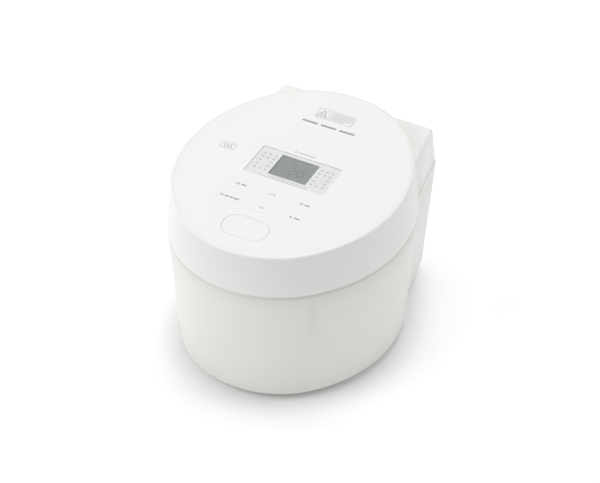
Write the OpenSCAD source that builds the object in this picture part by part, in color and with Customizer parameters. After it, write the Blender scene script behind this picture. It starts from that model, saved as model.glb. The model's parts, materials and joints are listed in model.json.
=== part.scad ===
// Induction rice cooker: hinged lid with display and keys, lift-out pot, heater, sensor, fan and electronics.
// +Z is up, -Y is the front, and the origin is on the floor below the middle of the outline.

/* [Body] */
// Width of the body at the seam below the lid
body_w = 260; // [250:1:270]
// Distance from the front of the body to its flat back
body_l = 303; // [298:1:308]
// Height of the seam between body and lid
seam_z = 150; // [148:1:154]
// Wall thickness of the outer mouldings
wall = 2.8; // [2.2:0.1:3.2]
// Inward slope of the body wall from the seam to the base
body_taper = 8.5; // [6:0.5:10]

/* [Lid] */
// Height of the top surface over the middle of the oval
lid_top_z = 204.6; // [202:0.2:208]
// Tilt of the top surface toward the front, in degrees
lid_tilt = 2.75; // [2:0.25:3.5]
// Inward slope of the lid wall from the seam to the top
lid_taper = 4; // [3:0.25:5]
// Radius of the rounded rim of the top
rim_r = 3.6; // [2.5:0.1:4.5]
// Height of the flat tail of the lid above the floor
tail_z = 192.4; // [188:0.2:196]

/* [Hinge] */
// Distance from the hinge axis to the flat back
hinge_back = 5; // [4.5:0.5:6]
// Height of the hinge axis above the seam
hinge_rise = 6; // [6:0.5:7]
// Radius of the steel hinge pin
hinge_pin_r = 2; // [1.5:0.25:2.5]

/* [Controls] */
// Width of the display window
window_w = 94.5; // [90:0.5:98]
// Length of the display window
window_l = 46; // [42:0.5:48]
// Spacing of the key columns
key_pitch_x = 38; // [36:0.5:40]
// Width of one key
key_w = 27; // [22:0.5:30]
// Length of one key
key_l = 15; // [12:0.5:17]
// Width of the lid button
button_w = 51; // [48:0.5:56]
// Length of the lid button
button_l = 31; // [28:0.5:33]

/* [Pot] */
// Outer radius of the cooking pot
pot_r = 101; // [98:0.5:103]
// Height of the underside of the pot
pot_bottom_z = 34; // [33:0.5:38]
// Wall thickness of the pot
pot_wall = 2.2; // [1.6:0.1:3]

/* [Fits] */
// Clearance between parts that only sit beside each other
gap = 0.3; // [0.2:0.05:0.4]
// Radial clearance of a pin in its hole
pin_fit = 0.05; // [0.02:0.01:0.08]

/* [Hidden] */
$fn = 144;

// Plan oval: two wide side arcs and two tighter end arcs that meet at 45 degrees.
arc_shift = 29;
end_r = 118;
oval_half_l = end_r + arc_shift;
side_r = body_w / 2 + arc_shift;
oval_y = -body_l / 2 + oval_half_l;
back_y = body_l / 2;

// Box behind the oval: half widths where it leaves the oval and at the back corners.
box_front_y = 76;
box_front_half = 107.4;
box_back_half = 95;
box_bottom_z = 9;
box_edge_r = 3;
box_low_in = 8;
lid_box_out = 0.6;
lid_box_in = 4;

// Levels.
base_z = 3;
flange_z = 5.8;
deck_z = seam_z - 2;
lid_z = seam_z + 0.8;
rim_drop = 2.6;
deck_t = 2.5;

// Hinge.
hinge_y = back_y - hinge_back;
hinge_z = seam_z + hinge_rise;
knuckle_r = hinge_back;
bracket_x = 60;
bracket_w = 12;
bracket_foot_t = 2;
bracket_screws = [-6, 6];
screw_line_y = hinge_y - 8;

// Latch.
latch_y = -121;
latch_z = 174;
barb_z = 141;
striker_y = -117.2;
striker_t = 1.8;
latch_pin_r = 1.5;
button_y = -103;

// Key centres in the plane of the top, as [column, distance from the middle of the oval].
key_rows = [-44.5, -67.5];

/* ---- shared shapes ---- */

// Carries a profile round the oval; x is the offset outside the seam outline and y is the height.
module oval_sweep() {
    for (turn = [0, 180]) {
        rotate(turn) translate([-arc_shift, 0, 0]) rotate(-45)
            rotate_extrude(angle = 90) translate([side_r, 0]) children();
        rotate(turn) translate([0, arc_shift, 0]) rotate(45)
            rotate_extrude(angle = 90) translate([end_r, 0]) children();
    }
}

// Flat oval, grown by an offset from the seam outline.
module oval(grow = 0) {
    join_y = arc_shift + (end_r + grow) * sin(45);
    intersection() {
        translate([-arc_shift, 0]) circle(side_r + grow);
        translate([arc_shift, 0]) circle(side_r + grow);
        square([400, 2 * join_y], center = true);
    }
    for (end = [-1, 1]) translate([0, end * arc_shift]) circle(end_r + grow);
}

module oval_plate(grow, low, high) {
    translate([0, 0, low]) linear_extrude(high - low) oval(grow);
}

module at_oval() {
    translate([0, oval_y, 0]) children();
}

// Frame of the sloping top: its middle is the middle of the oval and z = 0 is the top surface.
module on_top() {
    translate([0, oval_y, lid_top_z]) rotate([lid_tilt, 0, 0]) children();
}

// Flat plan of the box behind the oval, moved in from its walls.
module box_plan(inset = 0, front = box_front_y) {
    slope = (box_front_half - box_back_half) / (back_y - box_front_y);
    front_half = box_front_half + slope * (box_front_y - front) - inset;
    polygon([
        [-front_half, front], [front_half, front],
        [box_back_half - inset, back_y - inset], [-box_back_half + inset, back_y - inset]
    ]);
}

// Box solid with rounded edges; the insets are those of its lower and upper ends.
module box_block(low, high, low_in, high_in) {
    r = box_edge_r;
    ends = [[low + r, low_in], [high - r, high_in]];
    hull()
        for (end = ends, side = [-1, 1]) {
            translate([side * (box_back_half - end[1] - r), back_y - end[1] - r, end[0]]) sphere(r, $fn = 32);
            translate([side * (box_front_half - end[1] - r), box_front_y, end[0]]) sphere(r, $fn = 32);
        }
}

// Plain box cavity between two levels.
module box_cavity(low, high, low_in, high_in) {
    hull() {
        translate([0, 0, low]) linear_extrude(1) box_plan(low_in, 70);
        translate([0, 0, high - 1]) linear_extrude(1) box_plan(high_in, 70);
    }
}

// Flat rounded rectangle.
module rounded(w, l, r) {
    square([w - 2 * r, l], center = true);
    square([w, l - 2 * r], center = true);
    for (x = [-1, 1], y = [-1, 1])
        translate([x * (w / 2 - r), y * (l / 2 - r)]) circle(r, $fn = 48);
}

// Upright ring.
module ring(inner, outer, low, high) {
    translate([0, 0, low]) difference() {
        cylinder(r = outer, h = high - low);
        translate([0, 0, -1]) cylinder(r = inner, h = high - low + 2);
    }
}

// Bar along X.
module x_bar(r, low, high) {
    translate([low, 0, 0]) rotate([0, 90, 0]) cylinder(r = r, h = high - low, $fn = 48);
}

// Stacked turns of round wire, as one coil about Z.
module wire_coil(r, wire, height, turns) {
    pitch = (height - wire) / (turns - 1);
    for (turn = [0 : turns - 1])
        translate([0, 0, wire / 2 + turn * pitch])
            rotate_extrude($fn = 48) translate([r, 0]) circle(wire / 2, $fn = 16);
    rotate(90) translate([r - wire / 2, -wire / 2, wire / 2]) cube([wire, wire, height - wire]);
}

/* ---- body ---- */

base_in = body_taper;
base_round = 12;
base_round_z = base_z + base_round;
base_lip = 22;
flange_in = 33;

module body_wall_profile() {
    steps = 8;
    outer_arc = [for (i = [1 : steps]) let (a = i * 90 / steps)
        [-base_in - base_round * (1 - cos(a)), base_round_z - base_round * sin(a)]];
    inner_r = base_round - wall;
    inner_arc = [for (i = [steps - 1 : -1 : 0]) let (a = i * 90 / steps)
        [-base_in - wall - inner_r * (1 - cos(a)), base_round_z - inner_r * sin(a)]];
    polygon(concat(
        [[-3, seam_z], [-rim_drop + 0.6, seam_z - 0.4]],
        [[-0.6, seam_z - rim_drop + 0.2], [0, seam_z - rim_drop - 1]],
        [[-base_in, base_round_z]], outer_arc,
        [[-base_lip, base_z], [-base_lip, flange_z]],
        [[-flange_in - 3, flange_z], [-flange_in - 3, flange_z + wall]],
        [[-base_in - base_round, base_round_z - inner_r + 2]],
        [for (p = inner_arc) if (p[1] > flange_z + wall) p],
        [[-wall - 0.4, seam_z - rim_drop - 1], [-wall - 0.4, seam_z]]
    ));
}

// Vents and inlet opening in the back.
vent_slots = 8;
vent_pitch = 6;
vent = [46, 30, 2.6];
vent_corner = [20, back_y - 20, 32];
inlet = [50, 30, 30];
inlet_corner = [-80, back_y - 20, 24];

module body_shell() {
    color("#eef0ec") difference() {
        union() {
            at_oval() oval_sweep() body_wall_profile();
            box_block(box_bottom_z, seam_z, box_low_in, 0);
        }
        box_cavity(box_bottom_z + wall, seam_z + 1, box_low_in + wall, wall);
        for (i = [0 : vent_slots - 1])
            translate(vent_corner + [0, 0, i * vent_pitch]) cube(vent);
        translate(inlet_corner) cube(inlet);
        at_oval() oval_plate(-flange_in, flange_z - 1, 60);
        at_oval() for (p = screw_spots) translate([p[0], p[1], 0]) cylinder(r = 1.7, h = 30, $fn = 32);
    }
}

module deck_plan(inset) {
    translate([0, oval_y]) oval(-inset);
    box_plan(inset);
}

mouth_r = pot_r + 2.4;
latch_slot = [24, 17.5];

module top_deck() {
    color("#e6e8e4") difference() {
        union() {
            translate([0, 0, deck_z - deck_t]) linear_extrude(deck_t) deck_plan(wall + 0.8);
            at_oval() ring(mouth_r, mouth_r + 2.6, deck_z - 12, deck_z);
            for (x = [-1, 1])
                translate([x * bracket_x, screw_line_y, deck_z - 7]) cube([20, 14, 10], center = true);
        }
        at_oval() translate([0, 0, deck_z - 20]) cylinder(r = mouth_r, h = 40);
        at_oval() translate([0, 0, deck_z - 1]) cylinder(r = pot_r + 8.5, h = 4);
        translate([-latch_slot[0] / 2, striker_y - latch_slot[1], deck_z - 20])
            cube([latch_slot[0], latch_slot[1], 30]);
        for (x = [-1, 1], dx = bracket_screws)
            translate([x * bracket_x + dx, screw_line_y, deck_z - 20]) cylinder(r = 1.25, h = 40, $fn = 32);
    }
}

// Striker plate with the window that the barb of the latch faces.
module latch_catch() {
    color("#b9bcbf") difference() {
        translate([-11, striker_y - striker_t, barb_z - 5]) cube([22, striker_t, deck_z - barb_z + 5]);
        translate([-7, striker_y - 5, barb_z - 0.5]) cube([14, 10, 4]);
    }
}

base_plate_in = base_lip + gap;
foot_spots = [[-62, -80], [62, -80], [-62, 71], [62, 71]];

// Base screws lie on an oval line in the flange: two at the sides and four round the ends.
screw_in = 27.5;
screw_turn = 34;
screw_spots = concat(
    [for (side = [-1, 1]) [side * (body_w / 2 - screw_in), 0]],
    [for (side = [-1, 1], end = [-1, 1]) [
        side * (end_r - screw_in) * sin(screw_turn),
        end * (arc_shift + (end_r - screw_in) * cos(screw_turn))
    ]]
);
fan_spot = [0, 68];
fan_r = 27;
fan_hub_r = 12;
fan_blades = 7;

module base_plate() {
    color("#d9dbd8") difference() {
        at_oval() oval_plate(-base_plate_in, base_z, base_z + 2.5);
        translate([fan_spot[0], fan_spot[1], 0]) for (i = [-4 : 4])
            translate([i * 6, 0, base_z]) cube([3.2, 2 * sqrt(fan_r * fan_r - 36 * i * i), 20], center = true);
        for (i = [-5 : 5]) translate([i * 6, -70, base_z]) cube([3, 44, 20], center = true);
        for (p = foot_spots) translate([p[0], p[1], 0]) cylinder(r = 3.1, h = 20, $fn = 32);
        at_oval() for (p = screw_spots) translate([p[0], p[1], 0]) {
            cylinder(r = 1.8, h = 20, $fn = 32);
            cylinder(r = 4, h = base_z + 1.2, $fn = 32);
        }
    }
}

module foot(i) {
    color("#8d908e") translate([foot_spots[i][0], foot_spots[i][1], 0]) {
        cylinder(r1 = 8, r2 = 9, h = base_z);
        cylinder(r = 3, h = base_z + 2.5, $fn = 32);
        translate([0, 0, base_z + 2.5]) cylinder(r1 = 4, r2 = 2.4, h = 2, $fn = 32);
    }
}

module base_screws() {
    color("#a9acb0") at_oval() for (p = screw_spots) translate([p[0], p[1], base_z - 0.6]) difference() {
        union() {
            cylinder(r = 3.6, h = 1.8, $fn = 32);
            cylinder(r = 1.6, h = 8, $fn = 32);
        }
        for (turn = [0, 90]) rotate(turn) cube([4, 0.8, 1.6], center = true);
    }
}

/* ---- pot, heater and sensor ---- */

pot_round = 34;
pot_flange_r = 108;
pot_top_z = deck_z + 0.6;

// Bowl profile from the axis to the rim, grown outward from the pot.
module bowl_section(grow, top) {
    r = pot_r + grow;
    round_r = pot_round + grow;
    low = pot_bottom_z - grow;
    intersection() {
        union() {
            translate([0, low]) square([r - round_r, top - low]);
            translate([0, low + round_r]) square([r, top - low - round_r]);
            translate([r - round_r, low + round_r]) circle(round_r);
        }
        translate([0, low]) square([r, top - low]);
    }
}

module inner_pot() {
    color("#3c3d3f") at_oval() {
        rotate_extrude() difference() {
            union() {
                bowl_section(0, pot_top_z);
                translate([pot_r - 4, pot_top_z - 1.6]) square([pot_flange_r - pot_r + 4, 1.6]);
            }
            bowl_section(-pot_wall, pot_top_z + 1);
        }
    }
}

module pot_well() {
    color("#c9ccca") at_oval() rotate_extrude() difference() {
        union() {
            bowl_section(3.8, deck_z - 12.4);
            translate([pot_r, deck_z - 14.4]) square([12, 2]);
        }
        bowl_section(2, deck_z);
        square([70, 200]);
    }
}

module side_heater() {
    color("#b0a890") at_oval() ring(pot_r + 4.2, pot_r + 5.6, 96, 122);
}

module coil_base() {
    color("#e8e2d0") at_oval() difference() {
        union() {
            ring(20, 69.5, pot_bottom_z - 9.8, pot_bottom_z - 7.4);
            ring(66, 69.5, pot_bottom_z - 9.8, pot_bottom_z - 2.4);
            ring(20, 22.5, pot_bottom_z - 9.8, pot_bottom_z - 2.4);
            ring(44, 46, pot_bottom_z - 9.8, pot_bottom_z - 2.4);
            for (turn = [45 : 90 : 315]) rotate(turn) translate([60, -6, base_z + 2.5])
                cube([8, 12, pot_bottom_z - 9.8 - base_z - 2.5]);
        }
        for (turn = [0 : 90 : 270]) rotate(turn) translate([64, -5, pot_bottom_z - 6]) cube([10, 10, 10]);
    }
}

module ih_coil() {
    color("#b56a35") at_oval() rotate_extrude() {
        for (i = [0 : 6]) translate([25 + i * 2.7, pot_bottom_z - 5]) circle(1.25, $fn = 16);
        for (i = [0 : 6]) translate([48.5 + i * 2.6, pot_bottom_z - 5]) circle(1.25, $fn = 16);
    }
}

module ferrite_bar(i) {
    color("#3b3b3d") at_oval() rotate(90 * i - 90) translate([24, -5, pot_bottom_z - 14]) cube([40, 10, 4]);
}

sensor_r = 14;

module bottom_sensor() {
    color("#c4c6c8") at_oval() {
        translate([0, 0, pot_bottom_z - 4.2]) cylinder(r = sensor_r, h = 4);
        translate([0, 0, pot_bottom_z - 6.2]) cylinder(r = sensor_r + 3, h = 2);
        translate([0, 0, pot_bottom_z - 16]) cylinder(r = 3, h = 10);
    }
}

module sensor_spring() {
    color("#9a9ea2") at_oval() translate([0, 0, base_z + 2.6]) wire_coil(8, 1.2, 22, 5);
}

/* ---- electronics ---- */

board_y = 131;

module main_board() {
    color("#3f7a4c") difference() {
        translate([-82, board_y, 58]) cube([164, 1.6, 74]);
        for (x = [-76, 76], z = [64, 126])
            translate([x, board_y - 5, z]) rotate([-90, 0, 0]) cylinder(r = 1.8, h = 20, $fn = 32);
    }
}

module heat_sink() {
    color("#b8bcc0") {
        translate([-10, board_y - 5, 76]) cube([60, 4, 44]);
        for (i = [0 : 9]) translate([-10 + i * 6.4, board_y - 17, 76]) cube([2, 12.5, 44]);
    }
}

module capacitor() {
    color("#c9a227") translate([-52, board_y - 15, 88]) cube([32, 14.8, 26]);
}

module filter_choke() {
    color("#7d5a3a") translate([-67, board_y - 8, 96]) rotate([90, 0, 0]) difference() {
        translate([0, 0, -7.8]) cylinder(r = 12, h = 14);
        translate([0, 0, -9]) cylinder(r = 5, h = 20, $fn = 48);
    }
}

module fan_frame() {
    color("#2f3133") translate([fan_spot[0], fan_spot[1], base_z + 2.6]) {
        difference() {
            translate([0, 0, 6.5]) cube([58, 58, 13], center = true);
            translate([0, 0, 1.8]) cylinder(r = fan_r, h = 20);
            difference() {
                translate([0, 0, -1]) cylinder(r = fan_r, h = 5);
                translate([0, 0, -2]) cylinder(r = fan_hub_r, h = 8);
                for (turn = [0 : 120 : 240]) rotate(turn) translate([0, -2, -2]) cube([30, 4, 8]);
            }
        }
        cylinder(r = 1.5, h = 9, $fn = 32);
    }
}

module fan_rotor() {
    color("#44474a") translate([fan_spot[0], fan_spot[1], base_z + 2.6]) difference() {
        union() {
            translate([0, 0, 2.4]) cylinder(r = fan_hub_r, h = 9.6);
            for (i = [1 : fan_blades])
                rotate(i * 360 / fan_blades) translate([11, -0.6, 3]) rotate([32, 0, 0]) cube([14.6, 1.2, 8.4]);
        }
        translate([0, 0, -1]) cylinder(r = 1.5 + pin_fit, h = 10.4, $fn = 32);
    }
}

contact_xs = [-62, -48];
contact_z = 39;

module power_inlet() {
    color("#dfe1de") difference() {
        union() {
            translate([-79.6, back_y - 26, 24.4]) cube([49.2, 20, 29.2]);
            translate([-82, back_y - 26, 22]) cube([54, 9.4, 34]);
        }
        translate([-76, back_y - 18, 28]) cube([42, 30, 22]);
        for (x = contact_xs)
            translate([x, back_y - 40, contact_z]) rotate([-90, 0, 0]) cylinder(r = 2.2, h = 60, $fn = 32);
    }
}

module inlet_pins() {
    color("#c9b26a") for (x = contact_xs) translate([x, back_y - 34, contact_z]) rotate([-90, 0, 0]) {
        cylinder(r = 2, h = 22, $fn = 32);
        translate([0, 0, 22]) sphere(2, $fn = 32);
    }
}

/* ---- hinge ---- */

module hinge_bracket(side) {
    color("#a4a8ab") translate([side * bracket_x, 0, 0]) difference() {
        union() {
            translate([0, hinge_y, hinge_z]) x_bar(knuckle_r - 0.4, -bracket_w / 2, bracket_w / 2);
            translate([-bracket_w / 2, hinge_y - 4.6, deck_z]) cube([bracket_w, 6.2, hinge_z - deck_z]);
            translate([-9.6, hinge_y - 14, deck_z]) cube([19.2, 14, bracket_foot_t]);
        }
        translate([0, hinge_y, hinge_z]) x_bar(hinge_pin_r + 0.02, -20, 20);
        for (dx = bracket_screws) translate([dx, screw_line_y, deck_z - 5]) cylinder(r = 1.5, h = 10, $fn = 32);
    }
}

module hinge_screws() {
    color("#a9acb0") for (side = [-1, 1], dx = bracket_screws)
        translate([side * bracket_x + dx, screw_line_y, deck_z + bracket_foot_t]) {
            cylinder(r1 = 2.6, r2 = 2, h = 1.3, $fn = 32);
            translate([0, 0, -10]) cylinder(r = 1.2, h = 10.2, $fn = 32);
        }
}

module hinge_pin() {
    color("#c8cbce") translate([0, hinge_y, hinge_z]) x_bar(hinge_pin_r, -82, 82);
}

module hinge_spring(side) {
    color("#8f9396") translate([side < 0 ? -50 : 34, hinge_y, hinge_z])
        rotate([0, 90, 0]) wire_coil(3.3, 1, 16, 9);
}

/* ---- lid ---- */

lid_wall_top = 222;

module lid_wall_profile(inset, low) {
    top_in = lid_taper * (lid_wall_top - lid_z) / (lid_top_z - lid_z);
    polygon([[-30, low], [-inset, low], [-inset - top_in, lid_wall_top], [-30, lid_wall_top]]);
}

// Everything under a plane that lies below the sloping top.
module under_top(depth) {
    on_top() translate([-200, -250, -depth - 120]) cube([400, 500, 120]);
}

// Oval part of the lid: it leans in from the seam and rounds over into the sloping top.
module lid_oval_solid() {
    steps = 6;
    slice = 0.1;
    hull() {
        at_oval() oval_plate(0, lid_z, lid_z + slice, $fn = 128);
        on_top()
            for (a = [0 : 90 / steps : 90]) let (out = rim_r * (cos(a) - 1), up = rim_r * (sin(a) - 1))
                oval_plate(out - lid_taper, up - slice, up, $fn = 128);
    }
}

module lid_cavity() {
    intersection() {
        union() {
            at_oval() oval_sweep() lid_wall_profile(wall, lid_z - 1);
            at_oval() oval_plate(-28, lid_z - 1, lid_wall_top);
        }
        under_top(5.2);
    }
    box_cavity(lid_z - 1, tail_z - wall, wall - lid_box_out, wall + lid_box_in - lid_box_out);
}

panel_in = lid_taper + 4.6;
panel_t = 2.4;
panel_gap = 0.12;
button_gap = 0.35;

module button_plan(grow = 0) {
    rounded(button_w + 2 * grow, button_l + 2 * grow, button_l / 2 - 1 + grow);
}

module key_plan(grow = 0) {
    rounded(key_w + 2 * grow, key_l + 2 * grow, 3 + grow);
}

module each_key() {
    for (column = [-1 : 1], row = key_rows) translate([column * key_pitch_x, row]) children();
}

lcd_y = 1.8;
boss_x = 36;
boss_y = -8;
steam_y = 80.5;
slot_l = 18.6;
slot_w = 2.8;

module steam_slots_plan() {
    for (column = [-1 : 1]) translate([column * 22.2, steam_y]) rounded(slot_l, slot_w, slot_w / 2 - 0.05);
}

knuckle_spans = [[-80, -66.5], [-53.5, -51], [-18, 18], [51, 53.5], [66.5, 80]];

module lid_knuckles() {
    for (span = knuckle_spans) {
        translate([0, hinge_y, hinge_z]) x_bar(knuckle_r, span[0], span[1]);
        translate([span[0], hinge_y, hinge_z]) cube([span[1] - span[0], knuckle_r - 2.6, 14]);
    }
}

// Curved lip behind the hinge: it turns about the pin and hides the springs, with a disc at each end.
rear_lip_half = 91;
rear_lip_t = 0.9;

module rear_lip() {
    intersection() {
        translate([0, hinge_y, hinge_z]) difference() {
            x_bar(knuckle_r, -rear_lip_half, rear_lip_half);
            x_bar(knuckle_r - rear_lip_t, 2.5 - rear_lip_half, rear_lip_half - 2.5);
        }
        translate([-100, hinge_y, hinge_z - 8]) cube([200, 8, 11.4]);
    }
}

module lid_shell() {
    color("#f4f5f2") difference() {
        union() {
            difference() {
                union() {
                    lid_oval_solid();
                    intersection() {
                        box_block(lid_z - 20, tail_z, -lid_box_out, lid_box_in);
                        translate([-200, -200, lid_z]) cube([400, 400, 100]);
                    }
                }
                lid_cavity();
            }
            lid_knuckles();
            rear_lip();
            on_top() for (side = [-1, 1])
                translate([side * boss_x, boss_y, -12]) cylinder(r = 3, h = 7.2, $fn = 32);
        }
        difference() {
            translate([-200, hinge_y, lid_z - 20]) cube([400, 20, hinge_z - lid_z + 20]);
            translate([0, hinge_y, hinge_z]) x_bar(knuckle_r, -210, 210);
        }
        on_top() translate([0, 0, -panel_t - 0.1]) linear_extrude(10) oval(-panel_in);
        on_top() translate([0, 0, -20]) linear_extrude(30) {
            button_plan_at(button_gap + 0.1);
            translate([0, lcd_y]) square([51, 39], center = true);
            steam_slots_plan();
            each_key() rounded(10, 8, 2);
        }
        for (side = [-1, 1]) translate([side * bracket_x, hinge_y, hinge_z - 4])
            cube([bracket_w + 1, 28, 20], center = true);
        translate([0, hinge_y, hinge_z]) x_bar(hinge_pin_r + pin_fit, -84, 84);
        for (side = [-1, 1]) translate([side * 42, hinge_y, hinge_z]) x_bar(4.1, -8.6, 8.6);
    }
}

module button_plan_at(grow) {
    translate([0, button_y]) button_plan(grow);
}

module lid_top_panel() {
    color("#f7f7f5") on_top() difference() {
        translate([0, 0, -panel_t]) linear_extrude(panel_t) oval(-panel_in - panel_gap);
        translate([0, 0, -10]) linear_extrude(20) {
            button_plan_at(button_gap);
            each_key() key_plan(panel_gap);
            steam_slots_plan();
        }
        translate([0, 0, -10]) linear_extrude(20) rounded(window_w, window_l, 2);
    }
}

module display_window() {
    color("#e3e5e4") on_top() difference() {
        translate([0, 0, -panel_t - 0.1]) linear_extrude(1.6) rounded(window_w - 0.3, window_l - 0.3, 2);
        translate([0, lcd_y, -5]) linear_extrude(8) rounded(44.4, 34.2, 1);
    }
}

module lcd_module() {
    color("#8f9492") on_top() translate([0, lcd_y, -5.4]) linear_extrude(2.8) square([50, 38], center = true);
}

module lcd_frame() {
    color("#f0f0ee") on_top() translate([0, lcd_y, -12]) difference() {
        linear_extrude(6.6) square([56, 44], center = true);
        translate([0, 0, -1]) linear_extrude(10) square([46, 34], center = true);
    }
}

module control_board() {
    color("#2f6b45") on_top() difference() {
        translate([0, -27, -13.5]) linear_extrude(1.5) rounded(112, 100, 3);
        for (side = [-1, 1]) translate([side * boss_x, boss_y, -20]) cylinder(r = 1.6, h = 20, $fn = 32);
    }
}

module tact_switches() {
    color("#2b2c2e") on_top() each_key() {
        translate([-3, -3, -12]) cube([6, 6, 3.2]);
        translate([0, 0, -8.9]) cylinder(r = 1.6, h = 0.9, $fn = 32);
    }
}

// One key: a flush cap and a stem that reaches down to its switch.
module key(column, row) {
    color("#f6f6f4") on_top() translate([column * key_pitch_x, key_rows[row]]) {
        translate([0, 0, -1.6]) linear_extrude(1.6) key_plan(0);
        translate([0, 0, -7.2]) linear_extrude(6) rounded(8.6, 6.6, 1.5);
    }
}

module open_button() {
    color("#f6f6f4") on_top() translate([0, button_y, 0]) {
        difference() {
            translate([0, 0, -10]) linear_extrude(10) button_plan(0);
            translate([0, 0, -12]) linear_extrude(10) button_plan(-2.4);
        }
        translate([-5, -4, -23.3]) cube([10, 4, 22]);
    }
}

// Cup under the button: it guides the button and carries its spring.
module button_holder() {
    color("#e6e8e4") on_top() translate([0, button_y, 0]) difference() {
        translate([0, 0, -18.6]) linear_extrude(13.3) button_plan(2.8);
        translate([0, 0, -17]) linear_extrude(14) button_plan(0.9);
        translate([-6, -5, -20]) cube([12, 6, 6]);
    }
}

module button_spring() {
    color("#9a9ea2") on_top() translate([14, button_y, -17]) wire_coil(4, 0.8, 14.6, 6);
}

module latch_pin() {
    color("#c8cbce") translate([0, latch_y, latch_z]) x_bar(latch_pin_r, -16, 16);
}

// Lever: a boss on the pin, an arm back under the button and a blade down to the barb.
module latch_hook() {
    color("#d6d8da") difference() {
        union() {
            translate([0, latch_y, latch_z]) x_bar(4, -6, 6);
            translate([-6, latch_y, latch_z - 2]) cube([12, 16, 4]);
            translate([-6, latch_y - 4, barb_z]) cube([12, 3, latch_z - barb_z]);
            translate([-6, latch_y - 4, barb_z]) cube([12, striker_y - striker_t - gap - latch_y + 4, 3]);
        }
        translate([0, latch_y, latch_z]) x_bar(latch_pin_r + pin_fit, -20, 20);
    }
}

module latch_spring() {
    color("#8f9396") translate([6.4, latch_y, latch_z]) rotate([0, 90, 0]) wire_coil(2.6, 0.7, 3.2, 3);
}

cover_z = lid_z + 0.6;
cover_t = 2.4;
steam_port_y = 62;

module lid_inner_cover() {
    color("#eceeea") difference() {
        union() {
            translate([0, 0, cover_z]) linear_extrude(cover_t) intersection() {
                deck_plan(wall + 0.6);
                translate([-200, -300]) square([400, 300 + hinge_y - 16]);
            }
            for (x = [-1, 1]) translate([x * 12, latch_y, cover_z]) difference() {
                translate([-2, -5, 0]) cube([4, 10, latch_z - cover_z + 5]);
                translate([0, 0, latch_z - cover_z]) x_bar(latch_pin_r + 0.02, -10, 10);
            }
        }
        translate([0, latch_y - 3, cover_z]) cube([13, 20, 20], center = true);
        at_oval() translate([0, 0, cover_z - 1]) cylinder(r = 7.4, h = 10, $fn = 48);
        at_oval() translate([0, steam_port_y, cover_z - 1]) cylinder(r = 9, h = 10, $fn = 48);
        for (p = lid_screw_spots) translate([p[0], p[1], cover_z - 1]) cylinder(r = 1.8, h = 10, $fn = 32);
    }
}

lid_screw_spots = [[-112, -30], [112, -30], [-70, 118], [70, 118]];

module lid_screws() {
    color("#a9acb0") for (p = lid_screw_spots) translate([p[0], p[1], cover_z - 0.9]) {
        cylinder(r = 3.2, h = 0.9, $fn = 32);
        cylinder(r = 1.5, h = 9, $fn = 32);
    }
}

gasket_r = 107;

// Dished plate with a steam hole and a ring of small drain holes.
module inner_lid() {
    low = lid_z - 1.4;
    color("#c2c5c8") at_oval() difference() {
        rotate_extrude() polygon([
            [0, low], [86, low], [90, low + 1], [102, low + 1], [102, low + 1.8],
            [89, low + 1.8], [85.6, low + 1], [0, low + 1]
        ]);
        translate([0, steam_port_y, low - 5]) cylinder(r = 6, h = 10, $fn = 48);
        for (turn = [30 : 60 : 330])
            rotate(turn) translate([78, 0, low - 5]) cylinder(r = 1.6, h = 10, $fn = 24);
    }
}

module lid_gasket() {
    low = pot_top_z + gap;
    color("#8b8e90") at_oval() rotate_extrude() polygon([
        [102.1, lid_z + 0.5], [gasket_r, lid_z + 0.5], [gasket_r, low], [gasket_r - 2.4, low],
        [gasket_r - 3.4, lid_z - 0.5], [102.1, lid_z - 0.5]
    ]);
}

module steam_duct() {
    color("#dcdedb") difference() {
        union() {
            at_oval() translate([0, steam_port_y, cover_z + cover_t]) cylinder(r = 12, h = 20);
            intersection() {
                at_oval() translate([-36, 50, cover_z + 20]) cube([72, 40, 60]);
                under_top(5.4);
            }
        }
        at_oval() translate([0, steam_port_y, cover_z]) cylinder(r = 8, h = 30);
        intersection() {
            at_oval() translate([-34, 52, cover_z + 22]) cube([68, 36, 60]);
            under_top(0);
        }
    }
}

module steam_packing() {
    color("#7f8285") at_oval() translate([0, steam_port_y, 0]) ring(6.5, 8.8, lid_z - 0.3, cover_z + cover_t);
}

module lid_sensor() {
    color("#c4c6c8") at_oval() {
        translate([0, 0, lid_z - 0.3]) cylinder(r = 6, h = 12);
        translate([0, 0, cover_z + cover_t]) cylinder(r = 10, h = 2);
    }
}

body_shell();
top_deck();
base_plate();
foot(0);  // foot_1
foot(1);  // foot_2
foot(2);  // foot_3
foot(3);  // foot_4
base_screws();
pot_well();
side_heater();
inner_pot();
coil_base();
ih_coil();
ferrite_bar(1);  // ferrite_bar_1
ferrite_bar(2);  // ferrite_bar_2
ferrite_bar(3);  // ferrite_bar_3
ferrite_bar(4);  // ferrite_bar_4
bottom_sensor();
sensor_spring();
main_board();
heat_sink();
capacitor();
filter_choke();
fan_frame();
fan_rotor();
power_inlet();
inlet_pins();
latch_catch();
hinge_bracket(-1);  // hinge_bracket_left
hinge_bracket(1);  // hinge_bracket_right
hinge_screws();
hinge_pin();
hinge_spring(-1);  // hinge_spring_left
hinge_spring(1);  // hinge_spring_right
lid_shell();
lid_top_panel();
display_window();
lcd_module();
lcd_frame();
control_board();
tact_switches();
key(-1, 0);  // key_menu
key(-1, 1);  // key_keep_warm
key(0, 0);  // key_up
key(0, 1);  // key_down
key(1, 0);  // key_timer
key(1, 1);  // key_start
open_button();
button_holder();
button_spring();
latch_hook();
latch_pin();
latch_spring();
lid_inner_cover();
inner_lid();
lid_gasket();
steam_duct();
steam_packing();
lid_sensor();
lid_screws();
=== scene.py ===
"""Looks of an oval induction rice cooker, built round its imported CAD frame. Lengths are in metres."""

import itertools
import json
import math

import bmesh
import bpy
from mathutils import Matrix, Vector


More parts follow.
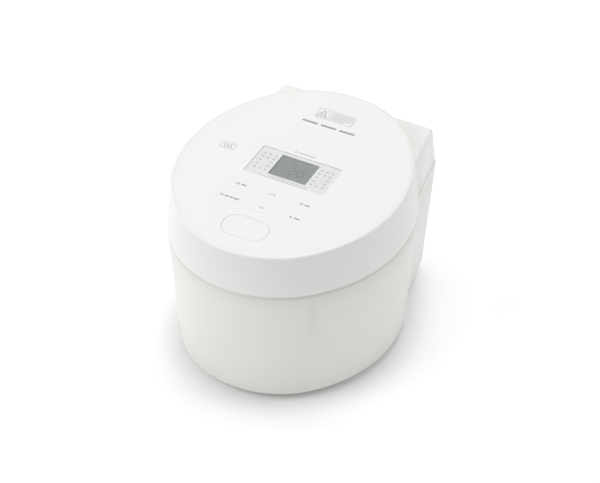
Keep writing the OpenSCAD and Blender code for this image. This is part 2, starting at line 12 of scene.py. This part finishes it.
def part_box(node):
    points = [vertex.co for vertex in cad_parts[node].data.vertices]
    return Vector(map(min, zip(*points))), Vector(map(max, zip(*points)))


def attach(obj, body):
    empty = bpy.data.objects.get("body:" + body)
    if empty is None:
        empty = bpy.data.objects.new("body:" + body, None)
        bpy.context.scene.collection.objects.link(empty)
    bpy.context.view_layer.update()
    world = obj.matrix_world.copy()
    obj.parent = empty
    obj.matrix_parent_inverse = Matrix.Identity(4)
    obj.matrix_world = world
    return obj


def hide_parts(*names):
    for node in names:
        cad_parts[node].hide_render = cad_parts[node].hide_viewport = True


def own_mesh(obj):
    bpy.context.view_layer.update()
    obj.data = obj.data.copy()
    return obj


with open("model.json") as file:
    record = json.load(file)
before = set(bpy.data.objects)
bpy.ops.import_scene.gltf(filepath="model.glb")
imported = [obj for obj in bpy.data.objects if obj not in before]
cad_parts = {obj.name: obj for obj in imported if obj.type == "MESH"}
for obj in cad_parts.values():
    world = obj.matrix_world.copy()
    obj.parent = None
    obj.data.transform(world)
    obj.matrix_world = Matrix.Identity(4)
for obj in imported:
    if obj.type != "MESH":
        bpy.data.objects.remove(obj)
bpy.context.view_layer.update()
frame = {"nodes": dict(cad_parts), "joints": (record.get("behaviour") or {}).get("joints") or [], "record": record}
NODES = frame["nodes"]
MM = 0.001

# ---- camera and light ----

CAMERA_AZIMUTH = math.radians(28.18)
CAMERA_ELEVATION = math.radians(39.0)
CAMERA_DISTANCE = 2.3645
CAMERA_AIM = Vector((0.0068, -0.0018, 0.1089))
CAMERA_LENS = 131.9
# name, azimuth and elevation in degrees, distance, diameter, power
LIGHTS = (
    ("top_light", 180, 78, 1.9, 1.4, 16.6),
    ("left_light", -40, 40, 2.0, 1.2, 10.4),
    ("low_light", -95, 15, 2.0, 1.0, 4.8),
    ("right_light", 115, 35, 2.2, 1.2, 4.6),
)
WORLD_COLOUR = (1.0, 1.0, 0.995, 1.0)
WORLD_STRENGTH = 0.35


def direction(azimuth, elevation):
    """Unit vector from the object towards a viewer at these angles."""
    return Vector((
        math.sin(azimuth) * math.cos(elevation),
        -math.cos(azimuth) * math.cos(elevation),
        math.sin(elevation),
    ))


def make_camera():
    data = bpy.data.cameras.new("camera")
    data.lens = CAMERA_LENS
    camera = bpy.data.objects.new("camera", data)
    bpy.context.collection.objects.link(camera)
    back = direction(CAMERA_AZIMUTH, CAMERA_ELEVATION)
    camera.location = CAMERA_AIM + back * CAMERA_DISTANCE
    camera.rotation_euler = (-back).to_track_quat("-Z", "Y").to_euler()
    bpy.context.scene.camera = camera


def area_light(name, azimuth, elevation, distance, size, power):
    data = bpy.data.lights.new(name, "AREA")
    data.shape = "DISK"
    data.size = size
    data.energy = power
    light = bpy.data.objects.new(name, data)
    bpy.context.collection.objects.link(light)
    towards = direction(math.radians(azimuth), math.radians(elevation))
    light.location = CAMERA_AIM + towards * distance
    light.rotation_euler = (-towards).to_track_quat("-Z", "Y").to_euler()


def make_studio():
    for light in LIGHTS:
        area_light(*light)
    world = bpy.data.worlds.new("studio")
    bpy.context.scene.world = world
    world.use_nodes = True
    background = world.node_tree.nodes["Background"]
    background.inputs["Color"].default_value = WORLD_COLOUR
    background.inputs["Strength"].default_value = WORLD_STRENGTH
    bpy.context.scene.view_settings.view_transform = "Standard"


# ---- node materials ----

NOISE_RANGE = (0.3, 0.7)  # where nearly all values of a noise texture lie


class Shader:
    """A Principled material with short helpers for its node tree."""

    def __init__(self, name, **sockets):
        self.material = bpy.data.materials.new(name)
        self.material.use_nodes = True
        self.nodes = self.material.node_tree.nodes
        self.links = self.material.node_tree.links
        self.bsdf = self.nodes["Principled BSDF"]
        for socket, value in sockets.items():
            self.bsdf.inputs[socket.replace("_", " ")].default_value = value

    def place(self, stretch=(1, 1, 1)):
        """Object coordinates, stretched."""
        coords = self.nodes.new("ShaderNodeTexCoord")
        mapping = self.nodes.new("ShaderNodeMapping")
        mapping.inputs["Scale"].default_value = stretch
        self.links.new(coords.outputs["Object"], mapping.inputs["Vector"])
        return mapping.outputs["Vector"]

    def noise(self, scale, detail=2.0, stretch=(1, 1, 1)):
        node = self.nodes.new("ShaderNodeTexNoise")
        node.inputs["Scale"].default_value = scale
        node.inputs["Detail"].default_value = detail
        self.links.new(self.place(stretch), node.inputs["Vector"])
        return node.outputs["Fac"]

    def spread(self, value, low, high):
        """Maps noise to between low and high."""
        node = self.nodes.new("ShaderNodeMapRange")
        node.inputs["From Min"].default_value = NOISE_RANGE[0]
        node.inputs["From Max"].default_value = NOISE_RANGE[1]
        node.inputs["To Min"].default_value = low
        node.inputs["To Max"].default_value = high
        self.links.new(value, node.inputs["Value"])
        return node.outputs["Result"]

    def blend(self, factor, first, second):
        """Mixes two colours by a factor between 0 and 1."""
        node = self.nodes.new("ShaderNodeMix")
        node.data_type = "RGBA"
        node.inputs["A"].default_value = (*first, 1)
        node.inputs["B"].default_value = (*second, 1)
        self.links.new(factor, node.inputs["Factor"])
        return node.outputs["Result"]

    def colour(self, output):
        self.links.new(output, self.bsdf.inputs["Base Color"])

    def roughness(self, output):
        self.links.new(output, self.bsdf.inputs["Roughness"])

    def bump(self, height, depth, strength=1.0):
        node = self.nodes.new("ShaderNodeBump")
        node.inputs["Distance"].default_value = depth
        node.inputs["Strength"].default_value = strength
        self.links.new(height, node.inputs["Height"])
        self.links.new(node.outputs["Normal"], self.bsdf.inputs["Normal"])


def shade(colour, factor):
    """A colour made lighter or darker."""
    return tuple(min(1.0, c * factor) for c in colour)


def moulded(name, colour, rough=0.4, grain=900, depth=0.00002, coat=0.0, variation=0.03):
    """Moulded plastic: a fine grain, slight mottling and uneven gloss."""
    s = Shader(name, Roughness=rough, Coat_Weight=coat, Coat_Roughness=0.25)
    cloud = s.spread(s.noise(9, 3), 0, 1)
    s.colour(s.blend(cloud, shade(colour, 1 - variation), shade(colour, 1 + variation)))
    s.roughness(s.spread(s.noise(60, 4), rough - 0.05, rough + 0.06))
    s.bump(s.noise(grain, 2), depth, 0.5)
    return s.material


def metal(name, colour, rough=0.3, stretch=(1, 1, 1), scale=500, depth=0.00001):
    """Metal with fine marks; a stretch of the noise gives a brushed direction."""
    s = Shader(name, Metallic=1.0, Roughness=rough)
    marks = s.noise(scale, 3, stretch)
    s.colour(s.blend(s.spread(s.noise(30, 3), 0, 1), shade(colour, 0.93), shade(colour, 1.05)))
    s.roughness(s.spread(marks, rough - 0.08, rough + 0.1))
    s.bump(marks, depth, 0.6)
    return s.material


def speckled(name, colour, fleck, rough=0.5, scale=1400):
    """Coating with fine bright flecks."""
    s = Shader(name, Roughness=rough, Coat_Weight=0.25, Coat_Roughness=0.3)
    dots = s.nodes.new("ShaderNodeTexVoronoi")
    dots.inputs["Scale"].default_value = scale
    s.links.new(s.place(), dots.inputs["Vector"])
    ramp = s.nodes.new("ShaderNodeMapRange")
    ramp.inputs["From Min"].default_value = 0.0
    ramp.inputs["From Max"].default_value = 0.22
    ramp.inputs["To Min"].default_value = 1.0
    ramp.inputs["To Max"].default_value = 0.0
    s.links.new(dots.outputs["Distance"], ramp.inputs["Value"])
    s.colour(s.blend(ramp.outputs["Result"], colour, fleck))
    s.roughness(s.spread(s.noise(80, 3), rough - 0.06, rough + 0.08))
    s.bump(s.noise(600, 3), 0.00002, 0.6)
    return s.material


def circuit_board(name, colour):
    """Solder mask over faint copper tracks."""
    s = Shader(name, Roughness=0.35, Coat_Weight=0.4, Coat_Roughness=0.15)
    tracks = s.nodes.new("ShaderNodeTexBrick")
    tracks.inputs["Scale"].default_value = 90
    tracks.inputs["Mortar Size"].default_value = 0.03
    tracks.inputs["Color1"].default_value = (*shade(colour, 0.85), 1)
    tracks.inputs["Color2"].default_value = (*shade(colour, 1.1), 1)
    tracks.inputs["Mortar"].default_value = (*shade(colour, 1.6), 1)
    s.links.new(s.place(), tracks.inputs["Vector"])
    s.colour(tracks.outputs["Color"])
    s.bump(s.noise(300, 3), 0.00003)
    return s.material


# the body's white plastic, made darker and greener than the lid's white with painted shade that stands in for the
# shade on the body's sides
BODY_WHITE_PAINTED_SHADE = (0.84, 0.855, 0.82)
LID_WHITE = (0.9, 0.909, 0.885)
TOP_WHITE = (0.89, 0.892, 0.878)
MATERIALS = {
    "white_shell": moulded("white_shell", BODY_WHITE_PAINTED_SHADE, 0.36, coat=0.12, variation=0.006),
    "white_lid": moulded("white_lid", LID_WHITE, 0.34, coat=0.12, variation=0.006),
    "white_panel": moulded("white_panel", TOP_WHITE, 0.5, grain=1600, variation=0.005),
    "white_key": moulded("white_key", TOP_WHITE, 0.5, grain=1600, variation=0.005),
    "deck_white": moulded("deck_white", (0.80, 0.81, 0.79), 0.42, variation=0.01),
    "cover_white": moulded("cover_white", (0.82, 0.83, 0.81), 0.42, variation=0.01),
    "base_grey": moulded("base_grey", (0.62, 0.63, 0.61), 0.55, grain=500, depth=0.00006),
    "foot_rubber": moulded("foot_rubber", (0.2, 0.205, 0.2), 0.85, grain=700, depth=0.00005),
    "screw_steel": metal("screw_steel", (0.6, 0.61, 0.62), 0.35),
    "pot_black": speckled("pot_black", (0.022, 0.022, 0.024), (0.2, 0.19, 0.17)),
    "well_grey": moulded("well_grey", (0.5, 0.51, 0.5), 0.6),
    "heater_foil": metal("heater_foil", (0.72, 0.7, 0.64), 0.3, scale=200, depth=0.0001),
    "coil_carrier": moulded("coil_carrier", (0.72, 0.68, 0.56), 0.6),
    "copper": metal("copper", (0.72, 0.33, 0.13), 0.38, scale=900, depth=0.00004),
    "ferrite": moulded("ferrite", (0.045, 0.045, 0.048), 0.75, grain=700, depth=0.00008),
    "sensor_metal": metal("sensor_metal", (0.78, 0.79, 0.8), 0.26),
    "spring_steel": metal("spring_steel", (0.55, 0.56, 0.57), 0.28),
    "power_board": circuit_board("power_board", (0.05, 0.2, 0.09)),
    "heat_sink_alu": metal("heat_sink_alu", (0.75, 0.76, 0.77), 0.38, (1, 1, 0.04)),
    "capacitor_case": moulded("capacitor_case", (0.7, 0.5, 0.07), 0.4),
    "choke_core": moulded("choke_core", (0.3, 0.16, 0.08), 0.5),
    "fan_black": moulded("fan_black", (0.03, 0.03, 0.033), 0.5),
    "inlet_white": moulded("inlet_white", (0.72, 0.73, 0.71), 0.45),
    "contact_brass": metal("contact_brass", (0.82, 0.68, 0.32), 0.25),
    "pressed_steel": metal("pressed_steel", (0.62, 0.63, 0.64), 0.34, (1, 0.05, 1)),
    "pin_steel": metal("pin_steel", (0.72, 0.73, 0.74), 0.2, (0.05, 1, 1)),
    "window_grey": moulded("window_grey", (0.8, 0.812, 0.806), 0.3, grain=1600, coat=0.3, variation=0.006),
    "lcd_grey": moulded("lcd_grey", (0.30, 0.322, 0.314), 0.3, coat=0.5, variation=0.02),
    "frame_white": moulded("frame_white", (0.78, 0.79, 0.77), 0.5),
    "logic_board": circuit_board("logic_board", (0.04, 0.17, 0.08)),
    "switch_black": moulded("switch_black", (0.03, 0.03, 0.033), 0.45),
    "inner_lid_alu": metal("inner_lid_alu", (0.8, 0.81, 0.815), 0.44, scale=250),
    "seal_grey": moulded("seal_grey", (0.34, 0.35, 0.36), 0.7, grain=500),
}


# ---- smooth shading and the CAD nodes ----

NODE_CREASE = 32  # degrees
SPRING_CREASE = 50
WELD_DISTANCE = 0.000002


def dress_frame():
    """Gives each CAD node the material of its slot, and smooth shading up to a crease angle."""
    slots = {part["node"]: part["material_slot"] for part in frame["record"]["subparts"]}
    for name, node in NODES.items():
        for slot in node.material_slots:
            slot.material = MATERIALS[slots[name]]
        smooth(node, NODE_CREASE)


def crease_group():
    """Geometry nodes that merge split corners, then shade smooth except across sharp edges."""
    group = bpy.data.node_groups.new("smooth_by_angle", "GeometryNodeTree")
    group.interface.new_socket("Geometry", in_out="INPUT", socket_type="NodeSocketGeometry")
    angle = group.interface.new_socket("Angle", in_out="INPUT", socket_type="NodeSocketFloat")
    angle.default_value = math.radians(NODE_CREASE)
    group.interface.new_socket("Geometry", in_out="OUTPUT", socket_type="NodeSocketGeometry")
    make = group.nodes.new
    start = make("NodeGroupInput")
    weld = make("GeometryNodeMergeByDistance")
    weld.inputs["Distance"].default_value = WELD_DISTANCE
    faces = make("GeometryNodeSetShadeSmooth")
    edges = make("GeometryNodeSetShadeSmooth")
    edges.domain = "EDGE"
    bend = make("GeometryNodeInputMeshEdgeAngle")
    soft = make("FunctionNodeCompare")
    soft.operation = "LESS_THAN"
    end = make("NodeGroupOutput")
    link = group.links.new
    link(start.outputs["Geometry"], weld.inputs["Geometry"])
    link(weld.outputs["Geometry"], faces.inputs["Geometry"])
    link(faces.outputs["Geometry"], edges.inputs["Geometry"])
    link(bend.outputs["Unsigned Angle"], soft.inputs[0])
    link(start.outputs["Angle"], soft.inputs[1])
    link(soft.outputs["Result"], edges.inputs["Shade Smooth"])
    link(edges.outputs["Geometry"], end.inputs["Geometry"])
    return group


CREASE = crease_group()


def smooth(obj, degrees):
    modifier = obj.modifiers.new("smooth_by_angle", "NODES")
    modifier.node_group = CREASE
    socket = next(i.identifier for i in CREASE.interface.items_tree if i.name == "Angle")
    modifier[socket] = math.radians(degrees)


make_camera()
make_studio()
dress_frame()

# ---- thin printed pieces ----

SKIN = 0.05  # thickness of a print, in millimetres
MITRE_LIMIT = 0.4


def top_frame():
    """Millimetre frame of the sloping top, over the middle of the display window: x right, y back."""
    press = next(j for j in frame["joints"] if j["name"] == "open_button_press")
    up = -Vector(press["axis"]).normalized()
    across = Vector((1, 0, 0))
    back = up.cross(across)
    level = max(up.dot(v.co) for v in NODES["lid_top_panel"].data.vertices)
    low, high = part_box("display_window")
    middle = (low + high) / 2
    origin = middle + up * (level - up.dot(middle))
    axes = Matrix((across, back, up)).transposed().to_4x4()
    return Matrix.Translation(origin) @ axes @ Matrix.Scale(MM, 4)


TOP = top_frame()
WORLD = Matrix.Scale(MM, 4)


class Plates:
    """Collects flat shapes, given in the millimetres of a frame, as one mesh."""

    def __init__(self, place):
        self.place = place
        self.mesh = bmesh.new()

    def ring(self, outline, height):
        return [self.mesh.verts.new(self.place @ Vector((x, y, height))) for x, y in outline]

    def skirt(self, low, high):
        for i in range(len(low)):
            j = (i + 1) % len(low)
            self.mesh.faces.new((low[i], low[j], high[j], high[i]))

    def solid(self, outline, low, high):
        """Prism over one anticlockwise outline."""
        bottom, top = self.ring(outline, low), self.ring(outline, high)
        self.mesh.faces.new(bottom[::-1])
        self.mesh.faces.new(top)
        self.skirt(bottom, top)

    def flat(self, outline, low=0.0):
        """One print's thickness of an outline."""
        self.solid(outline, low, low + SKIN)

    def band(self, outer, inner, low=0.0):
        """One print's thickness between two anticlockwise outlines of as many points each."""
        high = low + SKIN
        out_low, out_high = self.ring(outer, low), self.ring(outer, high)
        in_low, in_high = self.ring(inner, low), self.ring(inner, high)
        self.skirt(out_low, out_high)
        self.skirt(in_high, in_low)
        self.skirt(out_high, in_high)
        self.skirt(in_low, out_low)

    def piece(self, name, body, material):
        data = bpy.data.meshes.new(name)
        self.mesh.to_mesh(data)
        self.mesh.free()
        data.materials.append(material)
        obj = bpy.data.objects.new(name, data)
        bpy.context.collection.objects.link(obj)
        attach(obj, body)


def pill(x, y, w, h, r, steps=4):
    """Outline of a rounded rectangle about (x, y)."""
    corners = ((1, 1, 0), (-1, 1, 90), (-1, -1, 180), (1, -1, 270))
    return [
        (x + sx * (w / 2 - r) + r * math.cos(a), y + sy * (h / 2 - r) + r * math.sin(a))
        for sx, sy, start in corners
        for a in (math.radians(start + 90 * i / steps) for i in range(steps + 1))
    ]


def hoop(plates, x, y, w, h, r, line, low=0.0):
    """Rounded rectangular line."""
    plates.band(pill(x, y, w, h, r), pill(x, y, w - 2 * line, h - 2 * line, r - line), low)


def triangle(x, base, half, height):
    """Outline of an upright triangle on a base line."""
    return [(x - half, base), (x + half, base), (x, base + height)]


def stroke(points, width):
    """Outline of an open line of even width, with mitred corners up to a limit."""
    sides = []
    for i, point in enumerate(points):
        before = Vector(point) - Vector(points[max(i - 1, 0)])
        after = Vector(points[min(i + 1, len(points) - 1)]) - Vector(point)
        along = [v.normalized() for v in (before, after) if v.length > 0]
        mean = sum(along, Vector((0, 0))).normalized()
        reach = width / 2 / max(MITRE_LIMIT, mean.dot(along[0]))
        sides.append(Vector((-mean.y, mean.x)) * reach)
    left = [tuple(Vector(p) + s) for p, s in zip(points, sides)]
    right = [tuple(Vector(p) - s) for p, s in zip(points, sides)]
    return right + left[::-1]


def wave(x, y, height, swing, steps=12):
    """Points of an upright S-shaped line about (x, y)."""
    return [
        (x + swing * math.sin(2 * math.pi * i / steps), y + height * (i / steps - 0.5))
        for i in range(steps + 1)
    ]


PRINT = moulded("print_grey", (0.36, 0.365, 0.36), 0.6, grain=2500, variation=0.04)
PRINT_PALE = moulded("print_pale", (0.5, 0.51, 0.5), 0.6, grain=2500, variation=0.04)
LCD_INK = moulded("lcd_ink", (0.2, 0.22, 0.215), 0.4, grain=2500, variation=0.05)
LABEL_WHITE = moulded("label_white", (0.86, 0.87, 0.85), 0.35, grain=2500, variation=0.01)
# heights of the sunken surfaces in the frame of the top
WINDOW_LEVEL = -0.9
LCD_LEVEL = -2.6
# plain bars in place of words
WORD_HEIGHT = 1.9
WORD_ROUND = 0.5
LINE_HEIGHT = 0.9
LINE_ROUND = 0.4


def word(plates, left, y, width):
    """Bar in place of a word on a key."""
    plates.flat(pill(left + width / 2, y, width, WORD_HEIGHT, WORD_ROUND))


def list_sign(plates, x, y):
    for row in (y - 1.25, y, y + 1.25):
        plates.flat(pill(x - 5.4, row, 0.9, 0.7, 0.3))
        plates.flat(pill(x - 2.6, row, 3.4, 0.7, 0.3))
    word(plates, x + 1.0, y, 5.6)


def steam_sign(plates, x, y):
    for i in (-1, 0, 1):
        plates.flat(stroke(wave(x - 9.4 + i * 1.5, y, 3.2, 0.45), 0.65))
    for left, width in ((-6.0, 5.2), (0.2, 3.2), (4.4, 6.4)):
        word(plates, x + left, y, width)


def arrow(plates, x, y, turn):
    half = 3.4 * turn
    plates.flat(stroke([(x - half, y - turn), (x, y + 1.1 * turn), (x + half, y - turn)], 0.8))


def up_sign(plates, x, y):
    arrow(plates, x, y, 1)


def down_sign(plates, x, y):
    arrow(plates, x, y, -1)


def clock_sign(plates, x, y):
    middle = x - 4.2
    hoop(plates, middle, y, 3.4, 3.4, 1.7, 0.6)
    plates.flat(stroke([(middle, y + 0.95), (middle, y), (middle + 0.7, y)], 0.4))
    word(plates, x - 0.7, y, 6.2)


def start_sign(plates, x, y):
    plates.flat([(x - 5.6, y - 1.6), (x - 2.6, y), (x - 5.6, y + 1.6)])
    word(plates, x - 0.7, y, 6.6)


BACK_ROW = -44.5
FRONT_ROW = -67.5
KEY_SIGNS = {
    "key_menu": (list_sign, BACK_ROW),
    "key_keep_warm": (steam_sign, FRONT_ROW),
    "key_up": (up_sign, BACK_ROW),
    "key_down": (down_sign, FRONT_ROW),
    "key_timer": (clock_sign, BACK_ROW),
    "key_start": (start_sign, FRONT_ROW),
}


def key_prints():
    """One generic sign on each key, at the middle of the key from left to right."""
    for key, (sign, y) in KEY_SIGNS.items():
        low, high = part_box(key)
        middle = TOP.inverted() @ ((low + high) / 2)
        plates = Plates(TOP)
        sign(plates, middle.x, y)
        plates.piece("print_" + key, key, PRINT)


MARK_COLUMNS = (27.3, 33.8, 40.3)
MARK_ROWS = (13.4, 7.3, 1.3, -5.1, -11.3)
MARK_GAPS = ((1, 2), (1, 3))  # column and row of the marks that are missing on either side
# y, left end, right end and bar widths of each line under the display
LEGEND_LINES = (
    (-18.2, -18.6, 31.5, (3.6, 5.2, 2.6, 4.4)),
    (-21.2, -30.5, 30.2, (4.6, 3.0, 5.4)),
)
LEGEND_GAP = 1.1


def window_print():
    """Rows of small plain marks round the display, as a list of settings has."""
    plates = Plates(TOP)

    def line(x, y, width):
        plates.flat(pill(x, y, width, LINE_HEIGHT, LINE_ROUND), WINDOW_LEVEL)

    for side in (-1, 1):
        for column, x in enumerate(MARK_COLUMNS):
            for row, y in enumerate(MARK_ROWS):
                if (column, row) in MARK_GAPS:
                    continue
                line(side * x, y + 0.65, 3.8 - 0.4 * ((row + column) % 3))
                line(side * x, y - 0.65, 2.6)
    for y, start, end, widths in LEGEND_LINES:
        x = start
        for width in itertools.cycle(widths):
            if x + width > end:
                break
            line(x + width / 2, y, width)
            x += width + LEGEND_GAP
    plates.piece("print_window", "lid", PRINT_PALE)


DIGIT_HALF_WIDTH = 2.7
DIGIT_HALF_HEIGHT = 5.4
DIGIT_LINE = 1.1
DIGITS = (("abged", -1.5), ("abcdef", 8.5))  # lit segments and place of each digit
COLON_X = 3.5


def segment_ends():
    """Ends of the seven segments of a digit, by their usual letters."""
    w, h = DIGIT_HALF_WIDTH, DIGIT_HALF_HEIGHT
    return {
        "a": ((-w, h), (w, h)),
        "b": ((w, h), (w, 0)),
        "c": ((w, 0), (w, -h)),
        "d": ((-w, -h), (w, -h)),
        "e": ((-w, 0), (-w, -h)),
        "f": ((-w, h), (-w, 0)),
        "g": ((-w, 0), (w, 0)),
    }


def lcd_digits():
    """Dim seven-segment digits on the display."""
    plates = Plates(TOP)
    ends = segment_ends()
    for lit, x in DIGITS:
        for segment in lit:
            first, last = (Vector((x, 0)) + Vector(end) for end in ends[segment])
            inset = (last - first).normalized() * DIGIT_LINE * 0.65
            plates.flat(stroke([first + inset, last - inset], DIGIT_LINE), LCD_LEVEL)
    for y in (-2.4, 2.4):
        plates.flat(pill(COLON_X, y, DIGIT_LINE, DIGIT_LINE, 0.5), LCD_LEVEL)
    plates.piece("print_lcd_digits", "lid", LCD_INK)


def heat_sign():
    """Framed sign with three heat waves, left of the display."""
    plates = Plates(TOP)
    x, y = -81.2, 5.5
    hoop(plates, x, y, 16.6, 9.4, 0.8, 0.5)
    for i in (-1, 0, 1):
        plates.flat(stroke(wave(x + i * 3.6, y, 5.6, 0.8), 0.95))
    plates.piece("print_heat_sign", "lid", PRINT)


def plain_mark():
    """A ring and a bar behind the display."""
    plates = Plates(TOP)
    y = 28
    hoop(plates, -11.2, y, 3.2, 3.2, 1.6, 0.7)
    plates.flat(pill(2.2, y, 20, 1.3, 0.6))
    plates.piece("print_plain_mark", "lid", PRINT_PALE)


def steam_label():
    """Sticker behind the steam slots: rising steam in a triangle, and plain lines."""
    x, y, w, h = -0.8, 99.0, 45.4, 17.6
    plates = Plates(TOP)
    plates.flat(pill(x, y, w, h, 1.4))
    plates.piece("label_steam", "lid", LABEL_WHITE)
    plates = Plates(TOP)
    hoop(plates, x, y, w - 1.2, h - 1.2, 1.0, 0.45, SKIN)
    sign_x, sign_base = -15.8, 92.6
    plates.band(triangle(sign_x, sign_base, 6.4, 12.4), triangle(sign_x, sign_base + 1, 4.6, 9), SKIN)
    for i, height in ((-1, 3.4), (0, 4.4), (1, 3.4)):
        plates.flat(stroke(wave(sign_x + i * 1.9, sign_base + 4, height, 0.4), 0.7), SKIN)
    plates.flat(pill(-7.4, y, 0.5, 13.6, 0.2), SKIN)
    text_left, text_top, line_step = -5.2, y + 5.2, 2.6
    for i, width in enumerate((25.5, 24.5, 25.5, 24.0, 16.0)):
        plates.flat(pill(text_left + width / 2, text_top - i * line_step, width, 0.85, 0.4), SKIN)
    plates.piece("print_steam_label", "lid", PRINT_PALE)


POT_BORE = 98.8  # radius of the straight part of the pot's inside
POT_LEVELS = (72, 83, 94, 105, 116, 127)
LEVEL_LINE = 0.9


def pot_levels():
    """Water-level lines on the inside of the pot, left and right, every other one short."""
    low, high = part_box("inner_pot")
    centre = (low + high) / 2
    plates = Plates(Matrix.Translation((centre.x, centre.y, 0)) @ WORLD)

    def bend(radius, angles):
        return [(radius * math.cos(a), radius * math.sin(a)) for a in angles]

    for side in (0, 180):
        for i, level in enumerate(POT_LEVELS):
            half = 5.0 if i % 2 else 8.0
            angles = [math.radians(side + half * t / 4) for t in range(-4, 5)]
            outline = bend(POT_BORE + 0.1, angles) + bend(POT_BORE - 0.12, angles)[::-1]
            plates.solid(outline, level, level + LEVEL_LINE)
    plates.piece("print_pot_levels", "body", PRINT_PALE)


def rating_label():
    """Plain label under the base: a frame, bars in place of wording and two squares."""
    low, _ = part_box("base_plate")
    flip = Matrix.Translation((0, 0, low.z)) @ WORLD @ Matrix.Rotation(math.pi, 4, "X")
    plates = Plates(flip)
    x, y, w, h = 0, 8, 78, 40
    plates.flat(pill(x, y, w, h, 2))
    plates.piece("label_rating", "body", LABEL_WHITE)
    plates = Plates(flip)
    hoop(plates, x, y, w - 3, h - 3, 1.5, 0.5, SKIN)
    text_left, text_top, line_step = -33, y + 12.5, 5.4
    for i, width in enumerate((46, 30, 40, 34, 44)):
        plates.flat(pill(text_left + width / 2, text_top - i * line_step, width, 1.8, 0.6), SKIN)
    for i in (-1, 1):
        hoop(plates, 26, y + i * 8, 11, 11, 1.0, 0.8, SKIN)
    plates.piece("print_rating_label", "body", PRINT)


key_prints()
window_print()
lcd_digits()
heat_sign()
plain_mark()
steam_label()
pot_levels()
rating_label()

# ---- helical springs ----

STEPS_PER_TURN = 24
WIRE_SIDES = 8


def local_box(node, place):
    """Corners of a CAD node at rest, in the millimetres of a frame."""
    back = place.inverted()
    points = [back @ v.co for v in NODES[node].data.vertices]
    return Vector(map(min, zip(*points))), Vector(map(max, zip(*points)))


def helix(node, place, wire, turns, body, joint=None):
    """Spring of round wire in place of a CAD spring along the frame's z; with a joint it gets a mesh of its own.
    """
    low, high = local_box(node, place)
    middle = (low + high) / 2
    radius = (high.x - low.x - wire) / 2
    up = Vector((0, 0, 1))
    mesh = bmesh.new()
    rings = []
    steps = turns * STEPS_PER_TURN
    for i in range(steps + 1):
        angle = 2 * math.pi * turns * i / steps
        out = Vector((math.cos(angle), math.sin(angle), 0))
        height = low.z + wire / 2 + (high.z - low.z - wire) * i / steps
        core = Vector((middle.x, middle.y, height)) + out * radius
        rings.append([
            mesh.verts.new(place @ (core + (out * math.cos(b) + up * math.sin(b)) * wire / 2))
            for b in (2 * math.pi * side / WIRE_SIDES for side in range(WIRE_SIDES))
        ])
    for first, second in zip(rings, rings[1:]):
        for j in range(WIRE_SIDES):
            k = (j + 1) % WIRE_SIDES
            mesh.faces.new((first[j], first[k], second[k], second[j]))
    mesh.faces.new(rings[0])
    mesh.faces.new(rings[-1][::-1])
    bmesh.ops.recalc_face_normals(mesh, faces=mesh.faces)
    data = bpy.data.meshes.new("coil_" + node)
    mesh.to_mesh(data)
    mesh.free()
    data.materials.append(MATERIALS["spring_steel"])
    spring = bpy.data.objects.new("coil_" + node, data)
    bpy.context.collection.objects.link(spring)
    smooth(spring, SPRING_CREASE)
    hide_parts(node)
    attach(spring, body)
    if joint:
        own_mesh(spring)


ALONG_X = Matrix.Rotation(math.pi / 2, 4, "Y") @ WORLD
helix("button_spring", TOP, 0.8, 6, "lid", "open_button_press")
helix("sensor_spring", WORLD, 1.2, 5, "body", "bottom_sensor_press")
helix("latch_spring", ALONG_X, 0.7, 3, "lid")
helix("hinge_spring_left", ALONG_X, 1.0, 9, "lid")
helix("hinge_spring_right", ALONG_X, 1.0, 9, "lid")

# ---- floor ----

FLOOR_HALF = 6
FLOOR_COLOUR = (0.93, 0.93, 0.93, 1)
# painted light and painted shadow: the floor glows a little, and glows less inside the object's outline, which
# paints a darker contact shadow round the object
OUTLINE_RADII = (0.130, 0.151)
GLOW_NEAR = 0.05
GLOW_FAR = 0.22
GLOW_EDGE = (0.9, 1.15)  # in parts of the outline's radii


def make_floor():
    corners = [(x * FLOOR_HALF, y * FLOOR_HALF, 0) for x, y in ((-1, -1), (1, -1), (1, 1), (-1, 1))]
    mesh = bpy.data.meshes.new("floor")
    mesh.from_pydata(corners, [], [(0, 1, 2, 3)])
    floor = bpy.data.objects.new("floor", mesh)
    bpy.context.collection.objects.link(floor)
    paper = Shader("floor_glowing_paper", Roughness=0.9, Base_Color=FLOOR_COLOUR)
    distance = paper.nodes.new("ShaderNodeVectorMath")
    distance.operation = "LENGTH"
    shrink = (1 / OUTLINE_RADII[0], 1 / OUTLINE_RADII[1], 0)
    paper.links.new(paper.place(shrink), distance.inputs[0])
    # painted shadow: the glow is weakest near the object's outline, so the floor there is darker
    glow = paper.nodes.new("ShaderNodeMapRange")
    glow.inputs["From Min"].default_value = GLOW_EDGE[0]
    glow.inputs["From Max"].default_value = GLOW_EDGE[1]
    glow.inputs["To Min"].default_value = GLOW_NEAR
    glow.inputs["To Max"].default_value = GLOW_FAR
    paper.links.new(distance.outputs["Value"], glow.inputs["Value"])
    paper.bsdf.inputs["Emission Color"].default_value = (1, 1, 1, 1)
    paper.links.new(glow.outputs["Result"], paper.bsdf.inputs["Emission Strength"])
    mesh.materials.append(paper.material)


make_floor()
